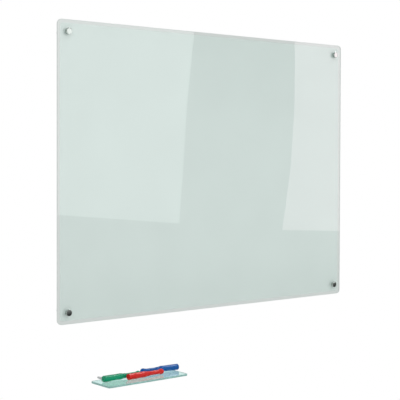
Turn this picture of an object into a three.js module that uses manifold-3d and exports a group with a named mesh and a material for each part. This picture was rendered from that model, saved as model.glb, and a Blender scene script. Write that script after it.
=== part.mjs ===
// Wall-mounted glass writing board on four stand-off fixings, with a clamped glass pen tray and three markers.
// Millimetres. X runs along the board, Z is up, and the wall is the plane y = 0 with the room on its -Y side.
// The origin lies on the wall behind the middle of the board. A depth is a distance out from the wall, along -Y.
import * as THREE from "three";
import { mergeVertices } from "three/addons/utils/BufferGeometryUtils.js";
import Module from "manifold-3d";

const wasm = await Module();
wasm.setup();

// Driving dimensions
// Board
const boardWidth = 1200;
const boardHeight = 900;
const glassThickness = 5;
const glassCornerRadius = 15;
const glassArris = 0.75;
const backingMargin = 10;
const backingThickness = 1;
const backingCornerRadius = 10;

// Clearances
const fitClearance = 0.3;
const cutOverrun = 1;

// Stand-off fixings
const fixingInset = 35;
const glassHoleRadius = 6;
const barrelRadius = 10;
const barrelLength = 15;
const barrelBase = 4;
const barrelChamfer = 1;
const washerRadius = 9;
const washerThickness = 1;
const studRadius = 4;
const studEngagement = 7.5;
const studInCap = 5;
const studChamfer = 0.6;
const capRadius = 10;
const capThickness = 8;
const capRim = 7;
const capChamfer = 0.8;

// Wall screws and plugs
const screwLength = 38;
const screwShankRadius = 2;
const screwHeadRadius = 3.7;
const screwHeadLand = 0.5;
const screwPoint = 5;
const recessWidth = 1.1;
const recessSpan = 4.4;
const recessDepth = 1.8;
const plugRadius = 4;
const plugTipRadius = 3.2;
const plugLength = 34;
const plugSink = 2.5;
const plugSlit = 1;
const plugCollar = 11;

// Pen tray
const trayWidth = 300;
const trayDepth = 100;
const trayThickness = 6;
const trayCornerRadius = 9;
const trayArris = 0.75;
const trayTopBelowBoard = 183;
const trayLeftInset = 126;

// Tray brackets
const bracketSpacing = 188;
const bracketWidth = 24;
const bracketDepth = 20;
const bracketWeb = 5;
const bracketUpperJaw = 5.5;
const bracketLowerJaw = 6;
const bracketNose = 1.4;
const bracketEdge = 0.6;
const linerThickness = 1;
const linerEdge = 1;
const clampScrewRadius = 2;
const clampScrewProud = 1.5;
const clampKeyRadius = 1.2;
const clampKeyDepth = 2.2;

// Markers, all measured along the marker from its rear end
const markerRadius = 9.5;
const markerWall = 1.5;
const markerBodyEnd = 62;
const markerShoulder = 10;
const markerEdge = 1;
const waistInset = 0.35;
const neckRadius = 5.6;
const neckLength = 12;
const noseLength = 6;
const noseRadius = 3.4;
const plugFlange = 2;
const plugSpigot = 6;
const waddingClearance = 0.4;
const waddingSocket = 9;
const nibRadius = 1.9;
const nibReach = 8;
const nibTip = 3;
const capLength = 65.7;
const capCollarRadius = 7.6;
const capCollarLength = 6;
const capWaistRadius = 6.6;
const capBulbRadius = 9;
const capBulbLength = 12;
const capWall = 2.5;
const capNibSpace = 22;

// How finely round forms are divided
const fineSides = 24;
const roundSides = 20;
const smallSides = 16;
const screwSides = 12;
const hexSides = 6;
const cornerSteps = 6;
const domeSteps = 4;

// Where each marker's rear end lies, along the tray from its middle and across it, as shares of the tray.
// A turn of zero lies along the wall with the cap to the right, and facing -1 lays the cap to the left.
const markerPlaces = [
  { name: "green", colour: 0x058c62, alongShare: -0.4293, rowShare: 0.15, turn: 0, facing: 1 },
  { name: "red", colour: 0xc62b2a, alongShare: -0.1783, rowShare: 0.375, turn: 2, facing: 1 },
  { name: "blue", colour: 0x0d4790, alongShare: 0.5377, rowShare: 0.068, turn: 5, facing: -1 },
];

// Depths of the clamped stack, out from the wall
const rearWasherDepth = barrelLength;
const backingDepth = rearWasherDepth + washerThickness;
const glassDepth = backingDepth + backingThickness;
const frontWasherDepth = glassDepth + glassThickness;
const capDepth = frontWasherDepth + washerThickness;
const studBackDepth = barrelLength - studEngagement;
const studFrontDepth = capDepth + studInCap;
const threadRadius = studRadius + fitClearance;

// Places
const fixingX = boardWidth / 2 - fixingInset;
const fixingZ = boardHeight / 2 - fixingInset;
const trayTop = -boardHeight / 2 - trayTopBelowBoard;
const trayMiddleX = -boardWidth / 2 + trayLeftInset + trayWidth / 2;
const trayMiddleZ = trayTop - trayThickness / 2;
const trayBackDepth = bracketWeb + linerThickness;
const shankHoleRadius = screwShankRadius + fitClearance;

// Directions: each matrix carries a shape's own axes onto the part's
const axes = (x, y, z) =>
  new THREE.Matrix4().makeBasis(
    new THREE.Vector3(...x),
    new THREE.Vector3(...y),
    new THREE.Vector3(...z),
  );
const flatOnWall = axes([1, 0, 0], [0, 0, 1], [0, -1, 0]);
const turnedOnWall = axes([1, 0, 0], [0, -1, 0], [0, 0, -1]);
const turnedUpright = axes([1, 0, 0], [0, 0, 1], [0, -1, 0]);
const turnedAlong = axes([0, 1, 0], [1, 0, 0], [0, 0, -1]);
const sideOnWall = axes([0, -1, 0], [0, 0, 1], [-1, 0, 0]);

// Materials
const paint = (color, roughness, metalness) =>
  new THREE.MeshStandardMaterial({ color, roughness, metalness });
const clearGlass = new THREE.MeshStandardMaterial({
  color: 0xcfe6dd,
  roughness: 0.04,
  metalness: 0,
  transparent: true,
  opacity: 0.45,
});
const whiteCoat = paint(0xe4ebe8, 0.5, 0);
const chrome = paint(0xd9dcdc, 0.12, 1);
const zincSteel = paint(0xb9bcbc, 0.35, 1);
const clearPad = paint(0xe6ecea, 0.4, 0);
const nylon = paint(0xb8bcbd, 0.6, 0);
const fibre = paint(0xe9e6dc, 0.95, 0);

// Solids
// One closed mesh: shared vertices merged, collapsed triangles dropped, and faces turned outwards.
function closed(geometry, matrix = new THREE.Matrix4()) {
  const bare = new THREE.BufferGeometry();
  bare.setAttribute("position", geometry.getAttribute("position").clone());
  bare.setIndex(geometry.index ? geometry.index.clone() : null);
  const merged = mergeVertices(bare);
  const corners = merged.index.array;
  const kept = [];
  for (let i = 0; i < corners.length; i += 3) {
    const [a, b, c] = [corners[i], corners[i + 1], corners[i + 2]];
    if (a !== b && b !== c && c !== a) kept.push(a, b, c);
  }
  merged.setIndex(kept);
  if (signedVolume(merged) < 0) {
    const turned = [];
    for (let i = 0; i < kept.length; i += 3) turned.push(kept[i], kept[i + 2], kept[i + 1]);
    merged.setIndex(turned);
  }
  return merged.applyMatrix4(matrix);
}

function signedVolume(geometry) {
  const place = geometry.getAttribute("position");
  const corners = geometry.index.array;
  const [a, b, c] = [new THREE.Vector3(), new THREE.Vector3(), new THREE.Vector3()];
  let sum = 0;
  for (let i = 0; i < corners.length; i += 3) {
    a.fromBufferAttribute(place, corners[i]);
    b.fromBufferAttribute(place, corners[i + 1]);
    c.fromBufferAttribute(place, corners[i + 2]);
    sum += a.dot(b.cross(c));
  }
  return sum;
}

// A body of revolution. A profile that doesn't start and end on the axis is a ring, and closes on itself.
function turned(profile, sides, matrix) {
  const points = profile.map(([radius, along]) => new THREE.Vector2(radius, along));
  const open = points[0].x > 0 || points[points.length - 1].x > 0;
  if (open) points.push(points[0].clone());
  return closed(new THREE.LatheGeometry(points, sides), matrix);
}

function roundedRectangle(width, height, radius) {
  const right = width / 2 - radius;
  const top = height / 2 - radius;
  const outline = new THREE.Shape();
  outline.absarc(right, top, radius, 0, Math.PI / 2);
  outline.absarc(-right, top, radius, Math.PI / 2, Math.PI);
  outline.absarc(-right, -top, radius, Math.PI, Math.PI * 1.5);
  outline.absarc(right, -top, radius, Math.PI * 1.5, Math.PI * 2);
  return outline;
}

// A plate whose outline, holes included, is eased by an arris on both faces.
function plate(outline, thickness, arris, matrix) {
  const geometry = new THREE.ExtrudeGeometry(outline, {
    depth: thickness - 2 * arris,
    bevelEnabled: arris > 0,
    bevelThickness: arris,
    bevelSize: arris,
    bevelOffset: -arris,
    bevelSegments: 1,
    curveSegments: cornerSteps,
  });
  geometry.translate(0, 0, arris);
  return closed(geometry, matrix);
}

function drill(outline, x, y, radius) {
  const hole = new THREE.Path();
  const step = (Math.PI * 2) / smallSides;
  for (let i = 0; i < smallSides; i += 1) {
    const [u, v] = [x + radius * Math.sin(i * step), y + radius * Math.cos(i * step)];
    if (i === 0) hole.moveTo(u, v);
    else hole.lineTo(u, v);
  }
  hole.closePath();
  outline.holes.push(hole);
}

function solidOf(geometry) {
  return new wasm.Manifold(
    new wasm.Mesh({
      numProp: 3,
      vertProperties: new Float32Array(geometry.getAttribute("position").array),
      triVerts: new Uint32Array(geometry.index.array),
    }),
  );
}

// The geometry less each of the cutters.
function cut(geometry, cutters) {
  let solid = solidOf(geometry);
  for (const cutter of cutters) solid = solid.subtract(solidOf(cutter));
  const mesh = solid.getMesh();
  const result = new THREE.BufferGeometry();
  result.setAttribute("position", new THREE.BufferAttribute(mesh.vertProperties, 3));
  result.setIndex(new THREE.BufferAttribute(mesh.triVerts, 1));
  return result;
}

const model = new THREE.Group();

function add(name, geometry, material, place = [0, 0, 0], parent = model) {
  geometry.computeVertexNormals();
  const mesh = new THREE.Mesh(geometry, material);
  mesh.name = name;
  mesh.position.set(...place);
  parent.add(mesh);
}

// Board
const corners = [
  { name: "top_left", x: -fixingX, z: fixingZ },
  { name: "top_right", x: fixingX, z: fixingZ },
  { name: "bottom_left", x: -fixingX, z: -fixingZ },
  { name: "bottom_right", x: fixingX, z: -fixingZ },
];

function drilledSheet(width, height, radius, thickness, arris) {
  const outline = roundedRectangle(width, height, radius);
  for (const { x, z } of corners) drill(outline, x, z, glassHoleRadius);
  return plate(outline, thickness, arris, flatOnWall);
}

const glassPanel = drilledSheet(
  boardWidth,
  boardHeight,
  glassCornerRadius,
  glassThickness,
  glassArris,
);
const backingSheet = drilledSheet(
  boardWidth - 2 * backingMargin,
  boardHeight - 2 * backingMargin,
  backingCornerRadius,
  backingThickness,
  0,
);
add("glass_panel", glassPanel, clearGlass, [0, -glassDepth, 0]);
add("backing_sheet", backingSheet, whiteCoat, [0, -backingDepth, 0]);

// Stand-off fixings: each profile is a list of [radius, depth out from the wall]
const headSlope = screwHeadRadius - screwShankRadius;
const sinkRadius = screwHeadRadius + fitClearance;

function barrel() {
  const sinkBottom = barrelBase - screwHeadLand - headSlope;
  return turned(
    [
      [shankHoleRadius, 0],
      [barrelRadius - barrelChamfer, 0],
      [barrelRadius, barrelChamfer],
      [barrelRadius, barrelLength - barrelChamfer],
      [barrelRadius - barrelChamfer, barrelLength],
      [threadRadius, barrelLength],
      [threadRadius, barrelBase],
      [sinkRadius, barrelBase],
      [sinkRadius, barrelBase - screwHeadLand],
      [shankHoleRadius, sinkBottom],
    ],
    roundSides,
    turnedOnWall,
  );
}

function ring(innerRadius, outerRadius, thickness, sides) {
  return turned(
    [
      [innerRadius, 0],
      [outerRadius, 0],
      [outerRadius, thickness],
      [innerRadius, thickness],
    ],
    sides,
    turnedOnWall,
  );
}

// The cap's face is a shallow dome that rises from the chamfered rim to the middle.
function cap() {
  const faceRadius = capRadius - capChamfer;
  const faceRim = capRim + capChamfer;
  const profile = [
    [0, studInCap + fitClearance],
    [threadRadius, studInCap + fitClearance],
    [threadRadius, 0],
    [faceRadius, 0],
    [capRadius, capChamfer],
    [capRadius, capRim],
  ];
  for (let i = 0; i <= domeSteps; i += 1) {
    const share = 1 - i / domeSteps;
    profile.push([faceRadius * share, capThickness - (capThickness - faceRim) * share ** 2]);
  }
  return turned(profile, fineSides, turnedOnWall);
}

function stud() {
  const length = studFrontDepth - studBackDepth;
  return turned(
    [
      [0, 0],
      [studRadius - studChamfer, 0],
      [studRadius, studChamfer],
      [studRadius, length - studChamfer],
      [studRadius - studChamfer, length],
      [0, length],
    ],
    screwSides,
    turnedOnWall,
  );
}

// A countersunk wall screw, its head's face at depth zero and its point in the wall.
function wallScrew() {
  const coneEnd = -screwHeadLand - headSlope;
  const shank = turned(
    [
      [0, 0],
      [screwHeadRadius, 0],
      [screwHeadRadius, -screwHeadLand],
      [screwShankRadius, coneEnd],
      [screwShankRadius, screwPoint - screwLength],
      [0, -screwLength],
    ],
    screwSides,
    turnedOnWall,
  );
  const deep = recessDepth + cutOverrun;
  const slots = [
    [recessWidth, recessSpan],
    [recessSpan, recessWidth],
  ].map(([width, height]) => {
    const box = new THREE.BoxGeometry(width, deep, height);
    return closed(box.translate(0, recessDepth - deep / 2, 0));
  });
  return cut(shank, slots);
}

// A split plug, its mouth at depth zero and its two legs in the wall.
function wallPlug() {
  const body = turned(
    [
      [shankHoleRadius, 0],
      [plugRadius, 0],
      [plugRadius, -plugLength / 2],
      [plugTipRadius, -plugLength],
      [shankHoleRadius, -plugLength],
    ],
    screwSides,
    turnedOnWall,
  );
  const slitLength = plugLength - plugCollar + cutOverrun;
  const slit = new THREE.BoxGeometry(plugSlit, slitLength, 2 * plugRadius + cutOverrun);
  return cut(body, [closed(slit.translate(0, plugCollar + slitLength / 2, 0))]);
}

for (const { name, x, z } of corners) {
  const at = (depth) => [x, -depth, z];
  const sleeveLength = backingThickness + glassThickness;
  const sleeveRadius = glassHoleRadius - fitClearance;
  add(`${name}_barrel`, barrel(), chrome, at(0));
  const rearWasher = ring(threadRadius, washerRadius, washerThickness, smallSides);
  add(`${name}_rear_washer`, rearWasher, clearPad, at(rearWasherDepth));
  const sleeve = ring(threadRadius, sleeveRadius, sleeveLength, smallSides);
  add(`${name}_sleeve`, sleeve, clearPad, at(backingDepth));
  const frontWasher = ring(threadRadius, washerRadius, washerThickness, smallSides);
  add(`${name}_front_washer`, frontWasher, clearPad, at(frontWasherDepth));
  add(`${name}_cap`, cap(), chrome, at(capDepth));
  add(`${name}_stud`, stud(), zincSteel, at(studBackDepth));
  add(`${name}_wall_screw`, wallScrew(), zincSteel, at(barrelBase));
  add(`${name}_wall_plug`, wallPlug(), nylon, at(-plugSink));
}

// Pen tray
const trayOutline = roundedRectangle(trayWidth, trayDepth, trayCornerRadius);
const trayY = -trayBackDepth - trayDepth / 2;
add("tray_glass", plate(trayOutline, trayThickness, trayArris), clearGlass, [
  trayMiddleX,
  trayY,
  trayTop - trayThickness,
]);

// Tray brackets: the jaw's profile is drawn in depth and height, with the middle of the tray's glass at height zero
const slotHalf = trayThickness / 2 + linerThickness;
const jawTop = slotHalf + bracketUpperJaw;
const jawBottom = -slotHalf - bracketLowerJaw;
const clampDepth = (bracketWeb + bracketDepth) / 2;
const bracketScrewDepth = bracketWeb - fitClearance;

function bracketBody() {
  const outline = new THREE.Shape();
  const nose = bracketDepth - bracketNose;
  outline.moveTo(0, jawBottom);
  outline.lineTo(nose, jawBottom);
  outline.absarc(nose, jawBottom + bracketNose, bracketNose, -Math.PI / 2, 0);
  outline.lineTo(bracketDepth, -slotHalf);
  outline.lineTo(bracketWeb, -slotHalf);
  outline.lineTo(bracketWeb, slotHalf);
  outline.lineTo(bracketDepth, slotHalf);
  outline.absarc(nose, jawTop - bracketNose, bracketNose, 0, Math.PI / 2);
  outline.lineTo(0, jawTop);
  outline.closePath();
  const side = new THREE.ExtrudeGeometry(outline, {
    depth: bracketWidth - 2 * bracketEdge,
    bevelThickness: bracketEdge,
    bevelSize: bracketEdge,
    bevelOffset: -bracketEdge,
    bevelSegments: 1,
    curveSegments: domeSteps,
  });
  side.translate(0, 0, bracketEdge - bracketWidth / 2);
  const sinkTop = bracketScrewDepth;
  const screwHole = turned(
    [
      [0, -cutOverrun],
      [shankHoleRadius, -cutOverrun],
      [shankHoleRadius, sinkTop - screwHeadLand - headSlope],
      [sinkRadius, sinkTop - screwHeadLand],
      [sinkRadius, bracketWeb + cutOverrun],
      [0, bracketWeb + cutOverrun],
    ],
    smallSides,
    turnedOnWall,
  );
  const clampHole = turned(
    [
      [0, jawBottom - cutOverrun],
      [clampScrewRadius + fitClearance, jawBottom - cutOverrun],
      [clampScrewRadius + fitClearance, cutOverrun - slotHalf],
      [0, cutOverrun - slotHalf],
    ],
    smallSides,
    turnedUpright,
  );
  return cut(closed(side, sideOnWall), [screwHole, clampHole.translate(0, -clampDepth, 0)]);
}

// A soft channel that wraps the glass's edge inside the jaw.
function liner() {
  const outline = new THREE.Shape();
  const front = bracketDepth - linerEdge;
  const inner = slotHalf - linerThickness;
  outline.moveTo(bracketWeb, -slotHalf);
  outline.lineTo(front, -slotHalf);
  outline.lineTo(front, -inner);
  outline.lineTo(bracketWeb + linerThickness, -inner);
  outline.lineTo(bracketWeb + linerThickness, inner);
  outline.lineTo(front, inner);
  outline.lineTo(front, slotHalf);
  outline.lineTo(bracketWeb, slotHalf);
  outline.closePath();
  const width = bracketWidth - 2 * linerEdge;
  const side = new THREE.ExtrudeGeometry(outline, { depth: width, bevelEnabled: false });
  return closed(side.translate(0, 0, -width / 2), sideOnWall);
}

function clampScrew() {
  const bottom = jawBottom - clampScrewProud;
  const screw = turned(
    [
      [0, bottom],
      [clampScrewRadius, bottom],
      [clampScrewRadius, -slotHalf],
      [0, -slotHalf],
    ],
    screwSides,
    turnedUpright,
  );
  const key = new THREE.CylinderGeometry(
    clampKeyRadius,
    clampKeyRadius,
    clampKeyDepth + cutOverrun,
    hexSides,
  );
  key.translate(0, bottom + (clampKeyDepth - cutOverrun) / 2, 0);
  return cut(screw, [closed(key, turnedUpright)]);
}

for (const side of [-1, 1]) {
  const name = side < 0 ? "left" : "right";
  const x = trayMiddleX + (side * bracketSpacing) / 2;
  const at = (depth) => [x, -depth, trayMiddleZ];
  add(`tray_${name}_bracket`, bracketBody(), chrome, at(0));
  add(`tray_${name}_liner`, liner(), clearPad, at(0));
  add(`tray_${name}_clamp_screw`, clampScrew(), zincSteel, at(clampDepth));
  add(`tray_${name}_wall_screw`, wallScrew(), zincSteel, at(bracketScrewDepth));
  add(`tray_${name}_wall_plug`, wallPlug(), nylon, at(-plugSink));
}

// Markers: each profile is a list of [radius, distance from the rear end]
const bodyBore = markerRadius - markerWall;
const shoulderEnd = markerBodyEnd + markerShoulder;
const neckEnd = shoulderEnd + neckLength;
const noseEnd = neckEnd + noseLength;
const nibEnd = noseEnd + nibReach;
const channelRadius = nibRadius + fitClearance;
const boreEnd = markerBodyEnd - markerWall;
const channelStart = boreEnd + markerShoulder - markerWall;
const waddingStart = plugFlange + plugSpigot + fitClearance;
const waddingEnd = boreEnd - fitClearance;
const socketStart = waddingEnd - waddingSocket;
const capMouth = shoulderEnd + fitClearance;

function markerBarrel() {
  const rear = plugFlange + fitClearance;
  const shoulderMiddle = markerBodyEnd + markerShoulder / 2;
  const shoulderMiddleRadius = (markerRadius + capCollarRadius) / 2 + waistInset;
  return turned(
    [
      [bodyBore, rear],
      [markerRadius - markerEdge, rear],
      [markerRadius, rear + markerEdge],
      [markerRadius, markerBodyEnd / 2],
      [markerRadius - waistInset, (markerBodyEnd * 3) / 4],
      [markerRadius, markerBodyEnd],
      [shoulderMiddleRadius, shoulderMiddle],
      [capCollarRadius, shoulderEnd],
      [neckRadius, shoulderEnd],
      [neckRadius, neckEnd],
      [noseRadius, noseEnd],
      [channelRadius, noseEnd],
      [channelRadius, channelStart],
      [bodyBore, boreEnd],
    ],
    roundSides,
    turnedAlong,
  );
}

function endPlug() {
  const spigotRadius = bodyBore - fitClearance;
  return turned(
    [
      [0, 0],
      [markerRadius - markerEdge, 0],
      [markerRadius, markerEdge],
      [markerRadius, plugFlange],
      [spigotRadius, plugFlange],
      [spigotRadius, plugFlange + plugSpigot],
      [0, plugFlange + plugSpigot],
    ],
    roundSides,
    turnedAlong,
  );
}

function wadding() {
  const radius = bodyBore - waddingClearance;
  return turned(
    [
      [0, waddingStart],
      [radius, waddingStart],
      [radius, waddingEnd],
      [channelRadius, waddingEnd],
      [channelRadius, socketStart],
      [0, socketStart],
    ],
    smallSides,
    turnedAlong,
  );
}

function nib() {
  return turned(
    [
      [0, socketStart + fitClearance],
      [nibRadius, socketStart + fitClearance],
      [nibRadius, nibEnd - nibTip],
      [nibRadius / 2, nibEnd - nibTip / 3],
      [0, nibEnd],
    ],
    screwSides,
    turnedAlong,
  );
}

// The cap: a collar, a slim waist and a rounded bulb, with a blind bore that clears the neck and the nib.
function markerCap() {
  const collarEnd = capMouth + capCollarLength;
  const bulb = capMouth + capLength - capBulbRadius;
  const boreRadius = neckRadius + fitClearance;
  const innerRadius = capWaistRadius - capWall;
  const boreStep = neckEnd + fitClearance;
  const innerEnd = nibEnd + capNibSpace;
  const profile = [
    [0, innerEnd],
    [innerRadius, innerEnd],
    [innerRadius, noseEnd],
    [boreRadius, boreStep],
    [boreRadius, capMouth],
    [capCollarRadius, capMouth],
    [capCollarRadius, collarEnd],
    [capWaistRadius, collarEnd + capCollarLength],
    [capWaistRadius, bulb - capBulbLength],
    [(capWaistRadius + capBulbRadius) / 2, bulb - capBulbLength / 2],
  ];
  for (let i = 0; i <= domeSteps; i += 1) {
    const angle = ((i / domeSteps) * Math.PI) / 2;
    const radius = i === domeSteps ? 0 : capBulbRadius * Math.cos(angle);
    profile.push([radius, bulb + capBulbRadius * Math.sin(angle)]);
  }
  return turned(profile, roundSides, turnedAlong);
}

// A marker lies level on its barrel.
for (const { name, colour, alongShare, rowShare, turn, facing } of markerPlaces) {
  const ink = paint(colour, 0.25, 0);
  const angle = THREE.MathUtils.degToRad(facing > 0 ? turn : 180 - turn);
  const rearX = trayMiddleX + alongShare * trayWidth;
  const rearDepth = bracketDepth + markerRadius + rowShare * trayDepth;
  const marker = new THREE.Group();
  marker.position.set(rearX, -rearDepth, trayTop + markerRadius + fitClearance);
  marker.rotation.z = angle;
  const pieces = [
    ["barrel", markerBarrel(), ink],
    ["end_plug", endPlug(), ink],
    ["wadding", wadding(), fibre],
    ["nib", nib(), ink],
    ["cap", markerCap(), ink],
  ];
  for (const [piece, geometry, material] of pieces) {
    add(`${name}_marker_${piece}`, geometry, material, [0, 0, 0], marker);
  }
  model.add(marker);
}

export default model;
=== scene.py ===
"""A glass writing board on four stand-off fixings, above a clamped glass pen tray with three markers.

Metres. X runs along the board, Z is up, and the wall is the plane y = 0 with the room on its -Y side.
Sizes of pieces are written in millimetres and turned to metres by mm(). A depth is a distance out from
the wall. The points of a turned profile are (radius, height)."""

import math

import bpy
from mathutils import Matrix, Vector


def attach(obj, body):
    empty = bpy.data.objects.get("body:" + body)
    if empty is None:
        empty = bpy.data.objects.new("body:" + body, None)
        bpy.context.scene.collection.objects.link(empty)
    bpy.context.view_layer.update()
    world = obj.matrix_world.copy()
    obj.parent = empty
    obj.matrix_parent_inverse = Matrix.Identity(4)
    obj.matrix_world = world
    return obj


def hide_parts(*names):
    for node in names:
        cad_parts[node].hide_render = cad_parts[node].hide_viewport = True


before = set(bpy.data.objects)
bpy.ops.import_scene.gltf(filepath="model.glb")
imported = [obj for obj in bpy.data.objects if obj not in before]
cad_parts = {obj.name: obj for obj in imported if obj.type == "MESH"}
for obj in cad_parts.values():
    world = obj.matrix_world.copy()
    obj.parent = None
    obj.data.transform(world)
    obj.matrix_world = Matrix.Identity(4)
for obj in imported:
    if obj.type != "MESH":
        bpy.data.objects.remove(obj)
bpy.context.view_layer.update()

# Camera
CAMERA_PLACE = (-2.2513, -2.6915, 0.0522)
CAMERA_AZIMUTH = math.radians(-39.375)
CAMERA_ELEVATION = math.radians(1.347)
CAMERA_ROLL = math.radians(0.18)
CAMERA_LENS = 95.68
CAMERA_SHIFT_UP = -0.0499


def add_camera():
    """The camera stands left of the board, a little above its middle, as in the photograph."""
    turn, tilt = CAMERA_AZIMUTH, CAMERA_ELEVATION
    back = Vector(
        (
            math.sin(turn) * math.cos(tilt),
            -math.cos(turn) * math.cos(tilt),
            math.sin(tilt),
        )
    )
    level = Vector((math.cos(turn), math.sin(turn), 0))
    upright = back.cross(level)
    side = level * math.cos(CAMERA_ROLL) + upright * math.sin(CAMERA_ROLL)
    up = upright * math.cos(CAMERA_ROLL) - level * math.sin(CAMERA_ROLL)
    pose = Matrix((side, up, back)).transposed().to_4x4()
    pose.translation = CAMERA_PLACE
    bpy.ops.object.camera_add()
    camera = bpy.context.object
    camera.name = "camera"
    camera.matrix_world = pose
    camera.data.lens = CAMERA_LENS
    camera.data.sensor_width = 36.0
    camera.data.shift_y = CAMERA_SHIFT_UP
    bpy.context.scene.camera = camera


bpy.ops.object.select_all(action="DESELECT")
add_camera()
bpy.context.scene.view_settings.view_transform = "Standard"


def mm(length):
    return length / 1000


# Sizes of the board and its sheet, as in the solids
BOARD_WIDTH, BOARD_HEIGHT, GLASS_THICK = 1200, 900, 5
GLASS_CORNER, GLASS_ARRIS, GLASS_HOLE = 15, 0.75, 6
SHEET_MARGIN, SHEET_THICK, SHEET_CORNER, SHEET_EASE = 10, 0.85, 10, 0.2

# The fixings' places, the depth of each of their pieces, and the radii that they share
FIXING_X, FIXING_Z = 565, 415
CORNERS = {
    "top_left": (-FIXING_X, FIXING_Z),
    "top_right": (FIXING_X, FIXING_Z),
    "bottom_left": (-FIXING_X, -FIXING_Z),
    "bottom_right": (FIXING_X, -FIXING_Z),
}
REAR_WASHER_DEPTH, SHEET_DEPTH, GLASS_DEPTH = 15, 16, 17
FRONT_WASHER_DEPTH, CAP_DEPTH, STUD_DEPTH = 22, 23, 7.5
SCREW_DEPTH, TRAY_SCREW_DEPTH, PLUG_DEPTH = 4, 4.7, -2.5
SCREW_HOLE, HEAD_SEAT, STUD_BORE = 2.3, 4, 4.3
WASHER_RADIUS, WASHER_THICK = 9, 1
SLEEVE_RADIUS, SLEEVE_LENGTH = 5.7, 6

# The tray and its clamps: the jaws part at JAW_BACK, and each stands JAW_HALF from the tray's middle
TRAY_WIDTH, TRAY_REACH, TRAY_THICK, TRAY_CORNER = 300, 100, 6, 9
TRAY_MIDDLE = (-324, -56, -636)
BRACKET_SPREAD = 94
BRACKET_XS = {"left": TRAY_MIDDLE[0] - BRACKET_SPREAD, "right": TRAY_MIDDLE[0] + BRACKET_SPREAD}
BRACKET_WIDTH, BRACKET_BOTTOM, LINER_WIDTH = 24, -10, 22
JAW_BACK, JAW_HALF, CLAMP_SCREW_DEPTH = 5, 4, 12.5

# Where each marker's rear end lies, and how many degrees its cap points round from +X
MARKER_HEIGHT = -623.2
MARKERS = {
    "green": (-452.79, -44.5, 0),
    "red": (-377.49, -67, 2),
    "blue": (-162.69, -36.3, 175),
}

# Points closer than this are one, and a cutter stands this far proud of what it cuts
SEAM_GAP, OVERRUN = 0.002, 2


# Shader nodes
def srgb(code):
    """A colour written as #rrggbb, as the linear numbers that shaders take."""
    parts = [int(code[i : i + 2], 16) / 255 for i in (1, 3, 5)]
    bent = [p / 12.92 if p <= 0.04045 else ((p + 0.055) / 1.055) ** 2.4 for p in parts]
    return (*bent, 1.0)


def put(tree, kind, inputs=None, **settings):
    """Adds a node with its settings. An input takes a value, or another node's output to be linked."""
    made = tree.nodes.new(kind)
    for name, value in settings.items():
        setattr(made, name, value)
    for name, value in (inputs or {}).items():
        if isinstance(value, bpy.types.NodeSocket):
            tree.links.new(value, made.inputs[name])
        else:
            made.inputs[name].default_value = value
    return made


def new_material(name):
    material = bpy.data.materials.new(name)
    material.use_nodes = True
    material.node_tree.nodes.clear()
    return material, material.node_tree


# The share of its range that the noise keeps to, nearly everywhere
GRAIN_LOW, GRAIN_HIGH = 0.3, 0.7


def grain(tree, pitch, stretch=(1, 1, 1), detail=3.0):
    """Noise in spots about pitch millimetres across, drawn out along an axis by a stretch under 1."""
    place = put(tree, "ShaderNodeTexCoord").outputs["Object"]
    scaled = put(tree, "ShaderNodeMapping", {"Vector": place, "Scale": stretch}).outputs[0]
    inputs = {"Vector": scaled, "Scale": 1 / mm(pitch), "Detail": detail}
    return put(tree, "ShaderNodeTexNoise", inputs).outputs["Fac"]


def mottled(tree, dark, light, **spots):
    """A colour that drifts between two shades, in the spots of a grain."""
    ramp = put(tree, "ShaderNodeValToRGB", {"Fac": grain(tree, **spots)})
    low, high = ramp.color_ramp.elements
    low.position, high.position = GRAIN_LOW, GRAIN_HIGH
    low.color, high.color = srgb(dark), srgb(light)
    return ramp.outputs["Color"]


def uneven(tree, low, high, **spots):
    """A number that drifts between two values, in the spots of a grain."""
    inputs = {
        "Value": grain(tree, **spots),
        "From Min": GRAIN_LOW,
        "From Max": GRAIN_HIGH,
        "To Min": low,
        "To Max": high,
    }
    return put(tree, "ShaderNodeMapRange", inputs).outputs["Result"]


def skin(tree, height, **spots):
    """The small relief of a surface: bumps height millimetres high, in the spots of a grain."""
    inputs = {"Height": grain(tree, **spots), "Distance": mm(height), "Strength": 1.0}
    return put(tree, "ShaderNodeBump", inputs).outputs["Normal"]


# Materials
def float_glass(name, kept, density):
    """Toughened float glass. Iron in the melt turns long paths through it green, so its edges look darker
    than its faces. Light for what lies behind it passes straight, and what the eye sees is bent. The volume
    keeps the shares given in kept for red, green and blue, and its density is per metre."""
    material, tree = new_material(name)
    clear = put(
        tree,
        "ShaderNodeBsdfPrincipled",
        {
            "Base Color": srgb("#fbfefc"),
            "Roughness": 0.0,
            "IOR": 1.52,
            "Transmission Weight": 1.0,
        },
    )
    path = put(tree, "ShaderNodeLightPath").outputs
    straight = put(tree, "ShaderNodeBsdfTransparent", {"Color": srgb("#fcfdfd")}).outputs[0]
    surface = clear.outputs[0]
    for ray in ("Is Diffuse Ray", "Is Shadow Ray"):
        mixed = put(tree, "ShaderNodeMixShader", {0: path[ray], 1: surface, 2: straight})
        surface = mixed.outputs[0]
    iron = put(tree, "ShaderNodeVolumeAbsorption", {"Color": (*kept, 1.0), "Density": density})
    ends = {"Surface": surface, "Volume": iron.outputs[0]}
    put(tree, "ShaderNodeOutputMaterial", ends)
    return material


def ground_edge(name, dark, light, clear):
    """Glass ground and arrised by a diamond wheel: a frosted skin that scatters light out of the edge. How
    clear it is runs from 0, all frosted, to 1."""
    material, tree = new_material(name)
    frosted = put(
        tree,
        "ShaderNodeBsdfPrincipled",
        {
            "Base Color": mottled(tree, dark, light, pitch=12),
            "Roughness": uneven(tree, 0.3, 0.45, pitch=0.8),
            "IOR": 1.52,
            "Transmission Weight": clear,
            "Normal": skin(tree, 0.01, pitch=0.4),
        },
    )
    put(tree, "ShaderNodeOutputMaterial", {"Surface": frosted.outputs[0]})
    return material


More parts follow.
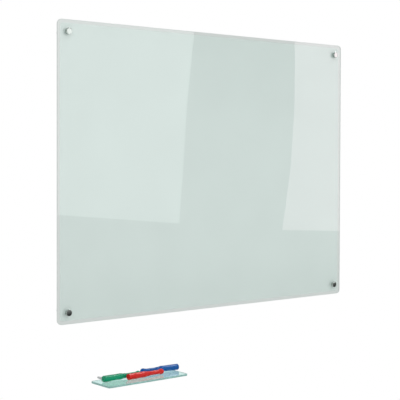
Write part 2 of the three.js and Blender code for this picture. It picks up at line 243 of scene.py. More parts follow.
def coated_steel():
    """Coil-coated steel sheet: an even white paint film with a fine orange peel about 1.5 mm across."""
    material, tree = new_material("white_coil_coated_steel")
    paint = put(
        tree,
        "ShaderNodeBsdfPrincipled",
        {
            "Base Color": mottled(tree, "#e2e4e3", "#e5e7e6", pitch=160, detail=2.0),
            "Roughness": uneven(tree, 0.42, 0.5, pitch=40),
            "Normal": skin(tree, 0.004, pitch=1.5),
        },
    )
    put(tree, "ShaderNodeOutputMaterial", {"Surface": paint.outputs[0]})
    return material


def chrome_plate():
    """Chrome plated over polished brass: a cool mirror with faint wiping marks."""
    material, tree = new_material("polished_chrome_plate")
    plated = put(
        tree,
        "ShaderNodeBsdfPrincipled",
        {
            "Base Color": srgb("#bfc6c2"),
            "Metallic": 1.0,
            "Roughness": uneven(tree, 0.07, 0.13, pitch=3, stretch=(1, 1, 0.3)),
            "Normal": skin(tree, 0.0006, pitch=0.5),
        },
    )
    put(tree, "ShaderNodeOutputMaterial", {"Surface": plated.outputs[0]})
    return material


def zinc_plate():
    """Bright zinc plated steel: soft bluish shine with small cloudy patches left by the bath."""
    material, tree = new_material("bright_zinc_plated_steel")
    plated = put(
        tree,
        "ShaderNodeBsdfPrincipled",
        {
            "Base Color": mottled(tree, "#b4b8ba", "#cfd2d3", pitch=1.2),
            "Metallic": 1.0,
            "Roughness": uneven(tree, 0.25, 0.4, pitch=0.6),
            "Normal": skin(tree, 0.003, pitch=0.3),
        },
    )
    put(tree, "ShaderNodeOutputMaterial", {"Surface": plated.outputs[0]})
    return material


def clear_pvc():
    """Soft clear PVC, punched from sheet: cloudy rather than clear, with a satin skin."""
    material, tree = new_material("soft_clear_pvc")
    cloudy = put(
        tree,
        "ShaderNodeBsdfPrincipled",
        {
            "Base Color": srgb("#eef3f1"),
            "Roughness": uneven(tree, 0.3, 0.4, pitch=0.8),
            "IOR": 1.53,
            "Transmission Weight": 0.6,
            "Normal": skin(tree, 0.004, pitch=0.4),
        },
    )
    put(tree, "ShaderNodeOutputMaterial", {"Surface": cloudy.outputs[0]})
    return material


def moulded_nylon():
    """Grey moulded nylon: a dull skin with the fine grain of a sparked mould."""
    material, tree = new_material("grey_moulded_nylon")
    dull = put(
        tree,
        "ShaderNodeBsdfPrincipled",
        {
            "Base Color": mottled(tree, "#b0b4b6", "#bdc1c2", pitch=4),
            "Roughness": uneven(tree, 0.5, 0.65, pitch=0.5),
            "IOR": 1.53,
            "Normal": skin(tree, 0.01, pitch=0.25),
        },
    )
    put(tree, "ShaderNodeOutputMaterial", {"Surface": dull.outputs[0]})
    return material


def moulded_polypropylene(colour, dark, light):
    """Polypropylene from a polished mould: glossy and evenly coloured, with soft sink marks along it."""
    material, tree = new_material(f"{colour}_moulded_polypropylene")
    glossy = put(
        tree,
        "ShaderNodeBsdfPrincipled",
        {
            "Base Color": mottled(tree, dark, light, pitch=14, detail=2.0),
            "Roughness": uneven(tree, 0.2, 0.3, pitch=2.5),
            "IOR": 1.49,
            "Specular IOR Level": 0.22,
            "Normal": skin(tree, 0.012, pitch=5, detail=1.0),
        },
    )
    put(tree, "ShaderNodeOutputMaterial", {"Surface": glossy.outputs[0]})
    return material


def inked_felt(colour, dark, light):
    """Pressed polyester felt soaked with ink: matt, with fibres that run along the nib."""
    material, tree = new_material(f"{colour}_inked_felt")
    fibres = {"pitch": 0.12, "stretch": (0.15, 1, 1)}
    matt = put(
        tree,
        "ShaderNodeBsdfPrincipled",
        {
            "Base Color": mottled(tree, dark, light, **fibres),
            "Roughness": 0.85,
            "Sheen Weight": 0.2,
            "Normal": skin(tree, 0.05, **fibres),
        },
    )
    put(tree, "ShaderNodeOutputMaterial", {"Surface": matt.outputs[0]})
    return material


def fibre_wadding():
    """Bundled acrylic fibre: off-white and matt, with strands drawn along the marker."""
    material, tree = new_material("bundled_acrylic_fibre")
    strands = {"pitch": 0.3, "stretch": (0.1, 1, 1)}
    matt = put(
        tree,
        "ShaderNodeBsdfPrincipled",
        {
            "Base Color": mottled(tree, "#d6cfc0", "#efebe2", **strands),
            "Roughness": 0.95,
            "Sheen Weight": 0.3,
            "Normal": skin(tree, 0.08, **strands),
        },
    )
    put(tree, "ShaderNodeOutputMaterial", {"Surface": matt.outputs[0]})
    return material


# The finish of each of the record's material slots, and those that only part of a piece has
FINISHES = {
    "clear_glass": float_glass("toughened_float_glass", (0.0, 0.425, 0.34), 12.7),
    "white_coated_steel": coated_steel(),
    "chrome": chrome_plate(),
    "zinc_steel": zinc_plate(),
    "clear_pad": clear_pvc(),
    "grey_nylon": moulded_nylon(),
    "ink_wadding": fibre_wadding(),
    "green_plastic": moulded_polypropylene("green", "#008b63", "#02966c"),
    "green_felt": inked_felt("green", "#02553a", "#066b4b"),
    "red_plastic": moulded_polypropylene("red", "#cc1f1b", "#d82723"),
    "red_felt": inked_felt("red", "#8a0f0d", "#a51815"),
    "blue_plastic": moulded_polypropylene("blue", "#004f99", "#045aa6"),
    "blue_felt": inked_felt("blue", "#061f52", "#0a2d6e"),
}
TRAY_GLASS = float_glass("green_tinted_float_glass", (0.0, 0.8, 0.74), 48.0)
BOARD_EDGE = ground_edge("ground_board_edge", "#cdd4d1", "#dae0dd", 0.0)
TRAY_EDGE = ground_edge("polished_tray_edge", "#84b3ad", "#9dcac4", 0.3)


# Modelling steps
def fresh(piece, name):
    piece.name = name
    piece.data.name = name
    return piece


def pick(piece):
    bpy.ops.object.select_all(action="DESELECT")
    piece.select_set(True)
    bpy.context.view_layer.objects.active = piece


def editing():
    bpy.ops.object.mode_set(mode="EDIT")
    bpy.ops.mesh.select_mode(type="VERT")
    bpy.ops.mesh.select_all(action="SELECT")


def done():
    bpy.ops.object.mode_set(mode="OBJECT")


def edit_where(piece, kind, test):
    """Opens a piece for editing with only those vertices, edges or polygons selected that pass a test."""
    bpy.ops.object.mode_set(mode="EDIT")
    bpy.ops.mesh.select_mode(type={"vertices": "VERT", "edges": "EDGE", "polygons": "FACE"}[kind])
    bpy.ops.mesh.select_all(action="DESELECT")
    done()
    for part in getattr(piece.data, kind):
        part.select = test(part)
    bpy.ops.object.mode_set(mode="EDIT")


def draw(name, points, close=False):
    """A line of edges through the points: a small plane is merged to one vertex, which is extruded from each
    point to the next."""
    bpy.ops.object.select_all(action="DESELECT")
    bpy.ops.mesh.primitive_plane_add(size=mm(1), location=(0, 0, 0))
    piece = fresh(bpy.context.object, name)
    editing()
    bpy.ops.mesh.merge(type="CENTER")
    bpy.ops.mesh.select_all(action="SELECT")
    bpy.ops.transform.translate(value=points[0])
    here = Vector(points[0])
    for point in points[1:]:
        step = Vector(point) - here
        bpy.ops.mesh.extrude_region_move(TRANSFORM_OT_translate={"value": step})
        here = Vector(point)
    if close:
        bpy.ops.mesh.select_all(action="SELECT")
        bpy.ops.mesh.edge_face_add()
    done()
    return piece


def block(name, size, middle):
    """A block of a given size, to be shaped or cut with."""
    bpy.ops.object.select_all(action="DESELECT")
    bpy.ops.mesh.primitive_cube_add(size=1, location=[mm(v) for v in middle])
    piece = fresh(bpy.context.object, name)
    piece.scale = [mm(v) for v in size]
    bpy.ops.object.transform_apply(location=True, rotation=True, scale=True)
    return piece


def tidy_mesh():
    """Merges what coincides and turns every face outwards."""
    bpy.ops.mesh.select_all(action="SELECT")
    bpy.ops.mesh.remove_doubles(threshold=mm(SEAM_GAP))
    bpy.ops.mesh.normals_make_consistent(inside=False)


def smooth(piece, degrees=30):
    pick(piece)
    bpy.ops.object.shade_smooth_by_angle(angle=math.radians(degrees))


def turned(name, profile, sides=64):
    """A lathe form: the profile is spun all the way round Z."""
    piece = draw(name, [(mm(radius), 0, mm(height)) for radius, height in profile])
    editing()
    bpy.ops.mesh.spin(
        steps=sides, angle=2 * math.pi, center=(0, 0, 0), axis=(0, 0, 1), use_normal_flip=False
    )
    tidy_mesh()
    done()
    smooth(piece)
    return piece


def arc(middle, radius, start, end, steps):
    """Points of a round in a profile, from one angle to another in degrees."""
    turns = [math.radians(start + (end - start) * i / steps) for i in range(steps + 1)]
    return [(middle[0] + radius * math.cos(t), middle[1] + radius * math.sin(t)) for t in turns]


def modify(piece, kind, **settings):
    """Adds a modifier with its settings and applies it."""
    pick(piece)
    modifier = piece.modifiers.new(kind.lower(), kind)
    for name, value in settings.items():
        setattr(modifier, name, value)
    bpy.ops.object.modifier_apply(modifier=modifier.name)


def ease_edges(piece, width, segments, over=50, clamp=False):
    """Rounds every edge that turns by more than so many degrees."""
    modify(
        piece,
        "BEVEL",
        width=mm(width),
        segments=segments,
        limit_method="ANGLE",
        angle_limit=math.radians(over),
        use_clamp_overlap=clamp,
    )


def combine(piece, others, operation):
    """Cuts the others out of a piece, or unites them with it, then clears up the seams."""
    for other in others:
        modify(piece, "BOOLEAN", operation=operation, object=other, solver="EXACT")
        bpy.data.objects.remove(other)
    editing()
    tidy_mesh()
    bpy.ops.mesh.dissolve_degenerate(threshold=mm(SEAM_GAP))
    done()


def wound(core, ridge, pitch, rounds, start):
    """Winds a thread round a core and joins the two. The ridge is a closed outline that climbs by a pitch
    each time round."""
    points = [(mm(radius), 0, mm(start + height)) for radius, height in ridge]
    thread = draw("thread", points, close=True)
    steps = 30
    modify(
        thread,
        "SCREW",
        angle=2 * math.pi,
        screw_offset=mm(pitch),
        iterations=rounds,
        steps=steps,
        render_steps=steps,
        use_merge_vertices=True,
        merge_threshold=mm(SEAM_GAP),
    )
    editing()
    bpy.ops.mesh.select_all(action="DESELECT")
    bpy.ops.mesh.select_non_manifold(extend=False)
    bpy.ops.mesh.fill_holes(sides=0)
    tidy_mesh()
    done()
    combine(core, [thread], "UNION")
    smooth(core, 25)
    return core


# The turn that points what is modelled upright along Z straight out from the wall
OUT_FROM_WALL = (("X", 90),)


def settle(piece, place, turns=()):
    """Turns a piece about each axis in the order given, moves it and applies both to its mesh."""
    pose = Matrix.Translation([mm(v) for v in place])
    for axis, degrees in reversed(turns):
        pose = pose @ Matrix.Rotation(math.radians(degrees), 4, axis)
    piece.matrix_world = pose
    pick(piece)
    bpy.ops.object.transform_apply(location=True, rotation=True, scale=True)


def copied(piece, name):
    pick(piece)
    bpy.ops.object.duplicate(linked=False)
    return fresh(bpy.context.object, name)


def discard(forms):
    for form in forms:
        bpy.data.objects.remove(form)


def stands_for(piece, node, body, slot, material=None):
    """Puts a finished piece in a node's stead, in the slot's own finish unless another is given."""
    piece.data.materials.clear()
    piece.data.materials.append(material or FINISHES[slot])
    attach(piece, body)
    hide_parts(node)


def frost_edges(plate, through, material):
    """Gives all but the plate's two flat faces, which look along y or z, the ground edge's finish."""
    plate.data.materials.append(material)
    for face in plate.data.polygons:
        face.material_index = 0 if abs(getattr(face.normal, through)) > 0.99 else 1


# Board
def rounded_plate(name, size, corner, arris, holes=()):
    """A flat plate in X and Z, its back face at y = 0 and its front towards -Y, with round holes through
    it. Its size is (width, height, thickness), and its corner and its arris are each (size, steps)."""
    width, height, thickness = size
    plate = block(name, (width, thickness, height), (0, -thickness / 2, 0))

    def at_a_corner(edge):
        ends = [plate.data.vertices[v].co.y for v in edge.vertices]
        return abs(ends[0] - ends[1]) > mm(thickness) / 2

    edit_where(plate, "edges", at_a_corner)
    radius, steps = corner
    bpy.ops.mesh.bevel(offset=mm(radius), offset_type="OFFSET", segments=steps, affect="EDGES")
    done()
    drills = []
    for x, z in holes:
        low, high = -OVERRUN, thickness + OVERRUN
        drill = turned("drill", [(0, low), (GLASS_HOLE, low), (GLASS_HOLE, high), (0, high)], 48)
        settle(drill, (x, 0, z), OUT_FROM_WALL)
        drills.append(drill)
    combine(plate, drills, "DIFFERENCE")
    ease_edges(plate, *arris, over=60, clamp=True)
    smooth(plate, 12)
    return plate


def board_glass():
    size = (BOARD_WIDTH, BOARD_HEIGHT, GLASS_THICK)
    corner, arris = (GLASS_CORNER, 16), (GLASS_ARRIS, 2)
    plate = rounded_plate("toughened_glass_board", size, corner, arris, CORNERS.values())
    settle(plate, (0, -GLASS_DEPTH, 0))
    stands_for(plate, "glass_panel", "board", "clear_glass")
    frost_edges(plate, "y", BOARD_EDGE)


def white_sheet():
    size = (BOARD_WIDTH - 2 * SHEET_MARGIN, BOARD_HEIGHT - 2 * SHEET_MARGIN, SHEET_THICK)
    corner, ease = (SHEET_CORNER, 12), (SHEET_EASE, 2)
    plate = rounded_plate("white_backing_sheet", size, corner, ease, CORNERS.values())
    settle(plate, (0, -SHEET_DEPTH, 0))
    stands_for(plate, "backing_sheet", "board", "white_coated_steel")


board_glass()
white_sheet()


# Stand-off fixings, modelled about Z with the wall at height 0
def barrel_form():
    """The spacer: a straight chromed barrel with eased ends and a fine groove near the wall, countersunk for
    its wall screw and then bored."""
    ease, flat = 0.8, 9.2
    profile = [(SCREW_HOLE, 0), (flat, 0)]
    profile += arc((flat, ease), ease, -90, 0, 4)
    groove = [(10, 1.6), (9.75, 1.8), (9.75, 2.2), (10, 2.4)]
    profile += groove
    profile += arc((flat, 14.2), ease, 0, 90, 4)
    bore = [(4.6, 15), (STUD_BORE, 14.7), (STUD_BORE, 4)]
    countersink = [(HEAD_SEAT, 4), (HEAD_SEAT, 3.5), (SCREW_HOLE, 1.8), (SCREW_HOLE, 0)]
    return turned("barrel", profile + bore + countersink)


def washer_form(name, inner, outer, thickness):
    ease = 0.12
    profile = [
        (inner, 0),
        (outer - ease, 0),
        (outer, ease),
        (outer, thickness - ease),
        (outer - ease, thickness),
        (inner, thickness),
        (inner, 0),
    ]
    return turned(name, profile)


def cap_form():
    """The cap: a chromed button with a barely domed face, a rounded rim and a blind bore behind."""
    bore_end = 5.3
    profile = [(0, bore_end), (STUD_BORE, bore_end), (STUD_BORE, 0.3), (4.6, 0), (9.5, 0)]
    profile += arc((9.5, 0.5), 0.5, -90, 0, 4)
    rim, shoulder, rounding = 9.1, 7, 0.9
    profile += arc((rim, shoulder), rounding, 0, 88, 8)
    rise, rings = 0.1, 8
    for i in range(1, rings + 1):
        share = 1 - i / rings
        profile.append((rim * share, shoulder + rounding + rise * (1 - share**2)))
    return turned("cap", profile, sides=96)


def stud_form():
    """An M8 stud: a bar with eased ends and a rolled thread."""
    root, ease, end = 3.5, 0.3, 20.5
    profile = [(0, 0), (3.2, 0), (root, ease), (root, end - ease), (3.2, end), (0, end)]
    core = turned("stud", profile, sides=40)
    ridge = [(3.4, 0), (3.98, 0.47), (3.98, 0.6), (3.4, 1.07)]
    return wound(core, ridge, pitch=1.25, rounds=15, start=0.4)


def wall_screw_form():
    """A countersunk wall screw, its head's face at height 0: a flat head with a cross recess, a plain neck,
    and a coarse thread that runs down to the point."""
    head = [(0, 0), (3.5, 0), (3.7, -0.15), (3.7, -0.45), (2, -2.2), (1.7, -2.6)]
    neck = [(1.7, -6), (1.35, -7), (1.35, -33)]
    point = [(1, -35.2), (0.35, -37.6), (0, -38)]
    core = turned("wall_screw", head + neck + point, sides=40)
    recesses = []
    for turn in (0, 90):
        recess = block("recess", (1.1, 4.4, 2), (0, 0, -0.8))
        edit_where(recess, "vertices", lambda vertex: vertex.co.z < mm(-1))
        bpy.ops.transform.resize(value=(0.7, 0.4, 1), center_override=(0, 0, 0))
        done()
        settle(recess, (0, 0, 0), (("Z", turn),))
        recesses.append(recess)
    combine(core, recesses, "DIFFERENCE")
    ridge = [(1.25, 0), (1.98, 0.42), (1.98, 0.5), (1.25, 1.0)]
    return wound(core, ridge, pitch=1.8, rounds=14, start=-32.6)


def plug_form():
    """A nylon wall plug: a collar, barbed ribs, and a slit that lets its legs spread."""
    outer, first_rib, rib_pitch, taper = 4, -4, 2.8, 0.045
    profile = [(SCREW_HOLE, 0), (3.9, 0), (outer, -0.1), (outer, -1.2), (3.7, -1.5), (3.7, first_rib)]
    for i in range(9):
        top = first_rib - i * rib_pitch
        crest = outer - taper * i
        profile += [(crest, top - 0.3), (crest - 0.05, top - 0.6), (crest - 0.55, top - 2.6)]
    profile += [(3.2, -30), (2.9, -34), (SCREW_HOLE, -34), (SCREW_HOLE, 0)]
    piece = turned("plug", profile, sides=40)
    slit = block("slit", (1, 12, 28), (0, 0, -25))
    combine(piece, [slit], "DIFFERENCE")
    smooth(piece, 25)
    return piece


def fixings():
    """Copies the fixing's pieces to each corner, and its screw and plug to each of the tray's clamps."""
    rear_washer = washer_form("rear_washer", STUD_BORE, WASHER_RADIUS, WASHER_THICK)
    sleeve = washer_form("sleeve", STUD_BORE, SLEEVE_RADIUS, SLEEVE_LENGTH)
    front_washer = washer_form("front_washer", STUD_BORE, WASHER_RADIUS, WASHER_THICK)
    forms = {
        "barrel": (barrel_form(), 0, "board", "chrome"),
        "rear_washer": (rear_washer, REAR_WASHER_DEPTH, "board", "clear_pad"),
        "sleeve": (sleeve, SHEET_DEPTH, "board", "clear_pad"),
        "front_washer": (front_washer, FRONT_WASHER_DEPTH, "{}_washer", "clear_pad"),
        "cap": (cap_form(), CAP_DEPTH, "{}_cap", "chrome"),
        "stud": (stud_form(), STUD_DEPTH, "{}_cap", "zinc_steel"),
        "wall_screw": (wall_screw_form(), SCREW_DEPTH, "board", "zinc_steel"),
        "wall_plug": (plug_form(), PLUG_DEPTH, "board", "grey_nylon"),
    }
    for corner, (x, z) in CORNERS.items():
        for kind, (form, depth, body, slot) in forms.items():
            piece = copied(form, f"{corner}_standoff_{kind}")
            settle(piece, (x, -depth, z), OUT_FROM_WALL)
            stands_for(piece, f"{corner}_{kind}", body.format(corner), slot)
    for side, x in BRACKET_XS.items():
        for kind, depth in (("wall_screw", TRAY_SCREW_DEPTH), ("wall_plug", PLUG_DEPTH)):
            form, _, body, slot = forms[kind]
            piece = copied(form, f"tray_{side}_fixing_{kind}")
            settle(piece, (x, -depth, TRAY_MIDDLE[2]), OUT_FROM_WALL)
            stands_for(piece, f"tray_{side}_{kind}", body, slot)
    discard(form for form, *_ in forms.values())


fixings()


# Pen tray
def tray_plate():
    size = (TRAY_WIDTH, TRAY_REACH, TRAY_THICK)
    plate = rounded_plate("tray_glass_plate", size, (TRAY_CORNER, 16), (GLASS_ARRIS, 3))
    x, y, z = TRAY_MIDDLE
    settle(plate, (x, y, z - TRAY_THICK / 2), (("X", -90),))
    stands_for(plate, "tray_glass", "board", "clear_glass", TRAY_GLASS)
    frost_edges(plate, "z", TRAY_EDGE)


def side_form(name, outline, width):
    """An outline of (depth, height) points, filled and drawn out along X by a width."""
    points = [(-mm(width) / 2, -mm(depth), mm(height)) for depth, height in outline]
    piece = draw(name, points, close=True)
    editing()
    bpy.ops.mesh.select_mode(type="FACE")
    bpy.ops.mesh.select_all(action="SELECT")
    bpy.ops.mesh.extrude_region_move(TRANSFORM_OT_translate={"value": (mm(width), 0, 0)})
    bpy.ops.mesh.select_mode(type="VERT")
    tidy_mesh()
    done()
    return piece


def bracket_form():
    """The clamp: a chromed block whose jaw takes the tray's edge, drilled for its wall screw and its
    clamp screw."""
    top, reach, nose, rounding = 9.5, 20, 18.4, 1.6
    outline = [(0, BRACKET_BOTTOM)]
    outline += arc((nose, BRACKET_BOTTOM + rounding), rounding, -90, 0, 6)
    outline += [(reach, -JAW_HALF), (JAW_BACK, -JAW_HALF), (JAW_BACK, JAW_HALF), (reach, JAW_HALF)]
    outline += arc((nose, top - rounding), rounding, 0, 90, 6)
    outline += [(0, top)]
    piece = side_form("bracket", outline, BRACKET_WIDTH)
    ease_edges(piece, 0.45, 3)
    low, seat_start, seat_end, high = -OVERRUN, 2.5, 4.2, JAW_BACK + OVERRUN
    seat = [(SCREW_HOLE, seat_start), (HEAD_SEAT, seat_end)]
    sink = turned("sink", [(0, low), (SCREW_HOLE, low), *seat, (HEAD_SEAT, high), (0, high)], 40)
    settle(sink, (0, 0, 0), OUT_FROM_WALL)
    low, high, radius = BRACKET_BOTTOM - OVERRUN, 1 - JAW_HALF, 2.3
    tapped = turned("tapped", [(0, low), (radius, low), (radius, high), (0, high)], 32)
    settle(tapped, (0, -CLAMP_SCREW_DEPTH, 0))
    combine(piece, [sink, tapped], "DIFFERENCE")
    smooth(piece, 20)
    return piece


def liner_form():
    back, end, inner = JAW_BACK + 1, 19, JAW_HALF - 1
    outline = [(JAW_BACK, -JAW_HALF), (end, -JAW_HALF), (end, -inner), (back, -inner)]
    outline += [(back, inner), (end, inner), (end, JAW_HALF), (JAW_BACK, JAW_HALF)]
    piece = side_form("liner", outline, LINER_WIDTH)
    ease_edges(piece, 0.15, 2)
    smooth(piece, 20)
    return piece


def clamp_screw_form():
    """A grub screw with a hexagon socket, its end up against the liner."""
    radius, root, bottom, pitch = 2, 1.7, -11.5, 0.73
    profile = [(0, bottom), (1.75, bottom), (radius, -11.25)]
    for i in range(9):
        low = -11 + i * pitch
        profile += [(radius, low), (radius, low + 0.15), (root, low + 0.4)]
    profile += [(radius, -4.3), (root, -JAW_HALF), (0, -JAW_HALF)]
    piece = turned("clamp_screw", profile, sides=32)
    bpy.ops.object.select_all(action="DESELECT")
    socket = {"vertices": 6, "radius": mm(1.2), "depth": mm(4)}
    bpy.ops.mesh.primitive_cylinder_add(location=(0, 0, mm(bottom)), **socket)
    combine(piece, [bpy.context.object], "DIFFERENCE")
    smooth(piece, 25)
    return piece


def brackets():
    forms = {
        "bracket": (bracket_form(), 0, "chrome"),
        "liner": (liner_form(), 0, "clear_pad"),
        "clamp_screw": (clamp_screw_form(), CLAMP_SCREW_DEPTH, "zinc_steel"),
    }
    for side, x in BRACKET_XS.items():
        for kind, (form, depth, slot) in forms.items():
            piece = copied(form, f"tray_{side}_clamp_{kind}")
            settle(piece, (x, -depth, TRAY_MIDDLE[2]))
            stands_for(piece, f"tray_{side}_{kind}", "board", slot)
    discard(form for form, *_ in forms.values())


tray_plate()
brackets()


# Markers, modelled about Z with the rear end at height 0
def marker_barrel_form():
    """The body: a moulded tube with a groove near its rear, a slight waist, a soft shoulder, a snap ring on
    its neck, and a nose that holds the nib."""
    profile = [(8, 2.3), (9, 2.3)]
    profile += arc((9, 2.8), 0.5, -90, 0, 4)
    groove = [(9.5, 6), (9.3, 6.2), (9.3, 6.9), (9.5, 7.1)]
    waist = [(9.5, 22), (9.4, 31), (9.25, 40), (9.16, 46.5), (9.25, 53), (9.4, 58)]
    shoulder = [(9.48, 61), (9.44, 62.5), (9.3, 64), (8.95, 66.5), (8.5, 68.6), (8.05, 70.4)]
    shoulder += [(7.75, 71.5), (7.55, 71.9), (7.3, 72), (5.8, 72), (5.6, 72.3)]
    snap_ring = [(5.6, 76), (5.8, 76.6), (5.8, 77.2), (5.6, 77.8)]
    nose = [(5.6, 83.6), (5.3, 84), (3.7, 89.3), (3.4, 89.9), (2.9, 90), (2.3, 90)]
    bore = [(2.2, 69), (8, 60.5), (8, 2.3)]
    profile += groove + waist + shoulder + snap_ring + nose + bore
    return turned("marker_barrel", profile)


def end_plug_form():
    """The plug that closes the body: a dished disc with a rounded rim, on a spigot."""
    dish = [(0, 0.6), (5.5, 0.6), (6, 0.1), (6.3, 0), (8.6, 0)]
    rim = arc((8.6, 0.9), 0.9, -90, 0, 5)
    spigot = [(9.5, 2), (7.6, 2), (7.6, 7.6), (7.2, 8), (0, 8)]
    return turned("end_plug", dish + rim + spigot)


def wadding_form():
    """The ink's reservoir: a plain cylinder with a socket that the nib reaches into."""
    body = [(0, 8.3), (7.2, 8.3), (7.6, 8.7), (7.6, 59.8), (7.2, 60.2)]
    socket = [(2.2, 60.2), (2.2, 51.2), (0, 51.2)]
    return turned("wadding", body + socket, sides=40)


def nib_form():
    """The nib: a rod of felt with a blunt tip."""
    rod = [(0, 51.5), (1.9, 51.5), (1.9, 95)]
    tip = [(1.8, 95.6), (1.5, 96.6), (1.1, 97.3), (0.55, 97.8), (0, 98)]
    return turned("nib", rod + tip, sides=40)


def marker_cap_form():
    """The cap: a ribbed collar, a slim waist and a rounded bulb with a sunk air hole, hollow for the neck
    and the nib. Every third face round the collar is sunk, which leaves the ribs."""
    collar_start, collar_end, sides = 73.4, 78.3, 72
    profile = [(0, 120), (4.1, 120), (4.1, 90), (5.9, 84.3), (5.9, 72.6), (6.2, 72.3), (7.2, 72.3)]
    profile += arc((7.2, 72.7), 0.4, -90, 0, 3)
    collar = [(7.6, collar_start), (7.6, collar_end), (7.5, 79.2), (7.25, 81), (6.95, 82.8)]
    waist = [(6.7, 84.4), (6.6, 86), (6.6, 116), (6.7, 117.5), (7.05, 119.6)]
    flare = [(7.6, 122), (8.2, 124.4), (8.7, 126.6), (8.93, 127.8)]
    bulb = arc((0, 129), 9, 0, 78, 14)
    air_hole = [(1.2, 137.8), (1.2, 136.2), (0, 136.2)]
    profile += collar + waist + flare + bulb + air_hole
    piece = turned("marker_cap", profile, sides)

    def between_ribs(face):
        x, y, z = face.center
        around = round(math.degrees(math.atan2(y, x)) / (360 / sides) - 0.5)
        on_collar = mm(collar_start) < z < mm(collar_end) and math.hypot(x, y) > mm(7)
        return on_collar and around % 3 == 0

    edit_where(piece, "polygons", between_ribs)
    bpy.ops.mesh.inset(thickness=mm(0.12), use_individual=True)
    bpy.ops.transform.shrink_fatten(value=mm(-0.22))
    done()
    smooth(piece)
    return piece


def markers():
    forms = {
        "barrel": (marker_barrel_form(), "{}_marker", "{}_plastic"),
        "end_plug": (end_plug_form(), "{}_marker", "{}_plastic"),
        "wadding": (wadding_form(), "{}_marker", "ink_wadding"),
        "nib": (nib_form(), "{}_marker", "{}_felt"),
        "cap": (marker_cap_form(), "{}_marker_cap", "{}_plastic"),
    }
    for colour, (x, y, turn) in MARKERS.items():
        for kind, (form, body, slot) in forms.items():
            piece = copied(form, f"{colour}_pen_{kind}")
            settle(piece, (x, y, MARKER_HEIGHT), (("Y", 90), ("Z", turn)))
            node = f"{colour}_marker_{kind}"
            stands_for(piece, node, body.format(colour), slot.format(colour))
    discard(form for form, *_ in forms.values())


markers()


# Studio, in metres
def standing(left, right, y, low, high):
    """The corners of an upright card that faces along Y."""
    return [(left, y, low), (right, y, low), (right, y, high), (left, y, high)]


def lying(left, right, front, back, z):
    """The corners of a level card."""
    return [(left, front, z), (right, front, z), (right, back, z), (left, back, z)]


# The corners run round each soft box, and mirror as the outline of a pale panel
LEFT_BOX = [
    (1.097, -3.207, 1.046),
    (1.941, -2.52, 1.05),
    (1.939, -2.522, 0.801),
    (1.916, -2.541, 0.489),
    (1.905, -2.55, 0.333),
    (1.892, -2.56, 0.021),
    (1.878, -2.571, -0.23),
    (1.871, -2.577, -0.377),
    (1.097, -3.207, -0.309),
]
RIGHT_BOX = [
    (2.424, -2.127, 1.021),
    (2.429, -2.123, 0.648),
    (2.428, -2.124, 0.336),
    (2.412, -2.137, -0.008),
    (2.391, -2.154, -0.228),
    (2.371, -2.17, -0.416),
    (2.847, -1.783, -0.424),
    (2.839, -1.79, 1.023),
]
STRIP = lying(left=1.4, right=2.5, front=-1.2, back=-0.4, z=2.6)
ROOM = standing(left=-6, right=8, y=-4.5, low=-3, high=3)
CEILING = lying(left=-6, right=8, front=-4.5, back=0, z=3.2)
# The wall's cards stand a hair behind the fixings' back faces
WALL = standing(left=-3, right=3, y=0.0006, low=-0.5, high=1.5)
LOW_WALL = standing(left=-3, right=3, y=0.0006, low=-1.5, high=-0.5)
FLOOR_MIDDLE, FLOOR_SIZE = (0, -0.6, -1.55), (5.5, 4.4, 1)
# How bright the room is at each height, within the span that the ramp covers
ROOM_SPAN = 1.5
ROOM_LEVELS = [(-1.3, 0.04), (-1.14, 0.14), (-0.9, 0.5), (-0.7, 0.62), (0.3, 0.62), (0.95, 0.1)]
# The sky's strength where the eye doesn't see it
EVEN_LIGHT = 0.74


def glow(name, strength, colour="#ffffff"):
    """An even glow, for a card that stands in for a lamp or a pale surface."""
    material, tree = new_material(name)
    light = put(tree, "ShaderNodeEmission", {"Color": srgb(colour), "Strength": strength})
    put(tree, "ShaderNodeOutputMaterial", {"Surface": light.outputs[0]})
    return material


def dim_room():
    """The room behind the camera: palest at eye level, and darker towards its floor and its ceiling."""
    material, tree = new_material("dim_room")
    place = put(tree, "ShaderNodeTexCoord").outputs["Object"]
    height = put(tree, "ShaderNodeSeparateXYZ", {0: place}).outputs["Z"]
    span = {"Value": height, "From Min": -ROOM_SPAN, "From Max": ROOM_SPAN}
    share = put(tree, "ShaderNodeMapRange", span).outputs["Result"]
    ramp = put(tree, "ShaderNodeValToRGB", {"Fac": share})
    stops = ramp.color_ramp.elements
    while len(stops) < len(ROOM_LEVELS):
        stops.new(0.5)
    for stop, (at, brightness) in zip(stops, ROOM_LEVELS):
        stop.position = (at + ROOM_SPAN) / (2 * ROOM_SPAN)
        stop.color = (brightness, brightness, brightness, 1)
    light = put(tree, "ShaderNodeEmission", {"Color": ramp.outputs["Color"], "Strength": 1.0})
    put(tree, "ShaderNodeOutputMaterial", {"Surface": light.outputs[0]})
    return material


def card(name, corners, material, through_glass=False):
    """A flat card outside the object, which shows only in reflections, or through glass as well."""
    piece = draw(name, corners, close=True)
    piece.data.materials.append(material)
    piece.visible_camera = False
    piece.visible_diffuse = False
    piece.visible_shadow = False
    piece.visible_volume_scatter = False
    piece.visible_transmission = through_glass


def studio():
    """Two tall soft boxes stand to the right of the camera and mirror in the glass as two pale panels. The
    room round them is dim, and a strip lamp overhead draws the thin highlights along the markers. The wall
    behind the board shows only through its clear rim and in the chrome."""
    card("left_soft_box", LEFT_BOX, glow("left_soft_box", 1.6), through_glass=True)
    right_glow = glow("right_soft_box", 1.82, "#fff0f5")
    card("right_soft_box", RIGHT_BOX, right_glow, through_glass=True)
    card("room", ROOM, dim_room())
    card("strip", STRIP, glow("strip_lamp", 26.0))
    pale = glow("pale_wall", 0.69)
    card("wall", WALL, pale, through_glass=True)
    card("low_wall", LOW_WALL, pale)
    card("ceiling", CEILING, glow("dim_ceiling", 0.1))


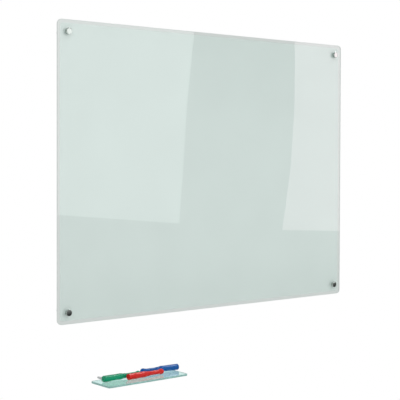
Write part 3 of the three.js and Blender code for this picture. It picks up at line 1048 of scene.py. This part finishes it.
def floor():
    """A pale floor well below the board, outside the camera's view, which takes the object's shadow."""
    bpy.ops.object.select_all(action="DESELECT")
    bpy.ops.mesh.primitive_plane_add(size=1, location=FLOOR_MIDDLE)
    ground = fresh(bpy.context.object, "floor")
    ground.scale = FLOOR_SIZE
    bpy.ops.object.transform_apply(location=True, rotation=True, scale=True)
    material, tree = new_material("pale_floor")
    matt = {"Base Color": srgb("#f4f4f2"), "Roughness": 0.9}
    surface = put(tree, "ShaderNodeBsdfPrincipled", matt)
    put(tree, "ShaderNodeOutputMaterial", {"Surface": surface.outputs[0]})
    ground.data.materials.append(material)


def sun(name, towards, strength, softness):
    """A broad distant lamp that lights the object evenly and doesn't mirror in it. It stands towards the
    direction given, and its softness is the angle that it fills, in degrees."""
    bpy.ops.object.light_add(type="SUN")
    lamp = bpy.context.object
    lamp.name = name
    lamp.rotation_euler = (-Vector(towards)).to_track_quat("-Z", "Y").to_euler()
    lamp.data.energy = strength
    lamp.data.angle = math.radians(softness)
    lamp.visible_glossy = False
    lamp.visible_transmission = False


def sky():
    """White behind the object, in its mirrors and through its glass, and a softer light from all round."""
    world = bpy.data.worlds.new("studio")
    bpy.context.scene.world = world
    world.use_nodes = True
    tree = world.node_tree
    tree.nodes.clear()
    path = put(tree, "ShaderNodeLightPath").outputs
    seen = path["Is Camera Ray"]
    for ray in ("Is Glossy Ray", "Is Transmission Ray"):
        seen = put(tree, "ShaderNodeMath", {0: seen, 1: path[ray]}, operation="MAXIMUM").outputs[0]
    white = (1, 1, 1, 1)
    even = put(tree, "ShaderNodeBackground", {"Color": white, "Strength": EVEN_LIGHT}).outputs[0]
    plain = put(tree, "ShaderNodeBackground", {"Color": white, "Strength": 1.0}).outputs[0]
    mixed = put(tree, "ShaderNodeMixShader", {0: seen, 1: even, 2: plain}).outputs[0]
    put(tree, "ShaderNodeOutputWorld", {"Surface": mixed})


studio()
floor()
sky()
sun("key", (0.25, -0.8, 0.6), strength=0.62, softness=70)
sun("fill", (-0.5, -0.8, 0.3), strength=0.3, softness=70)
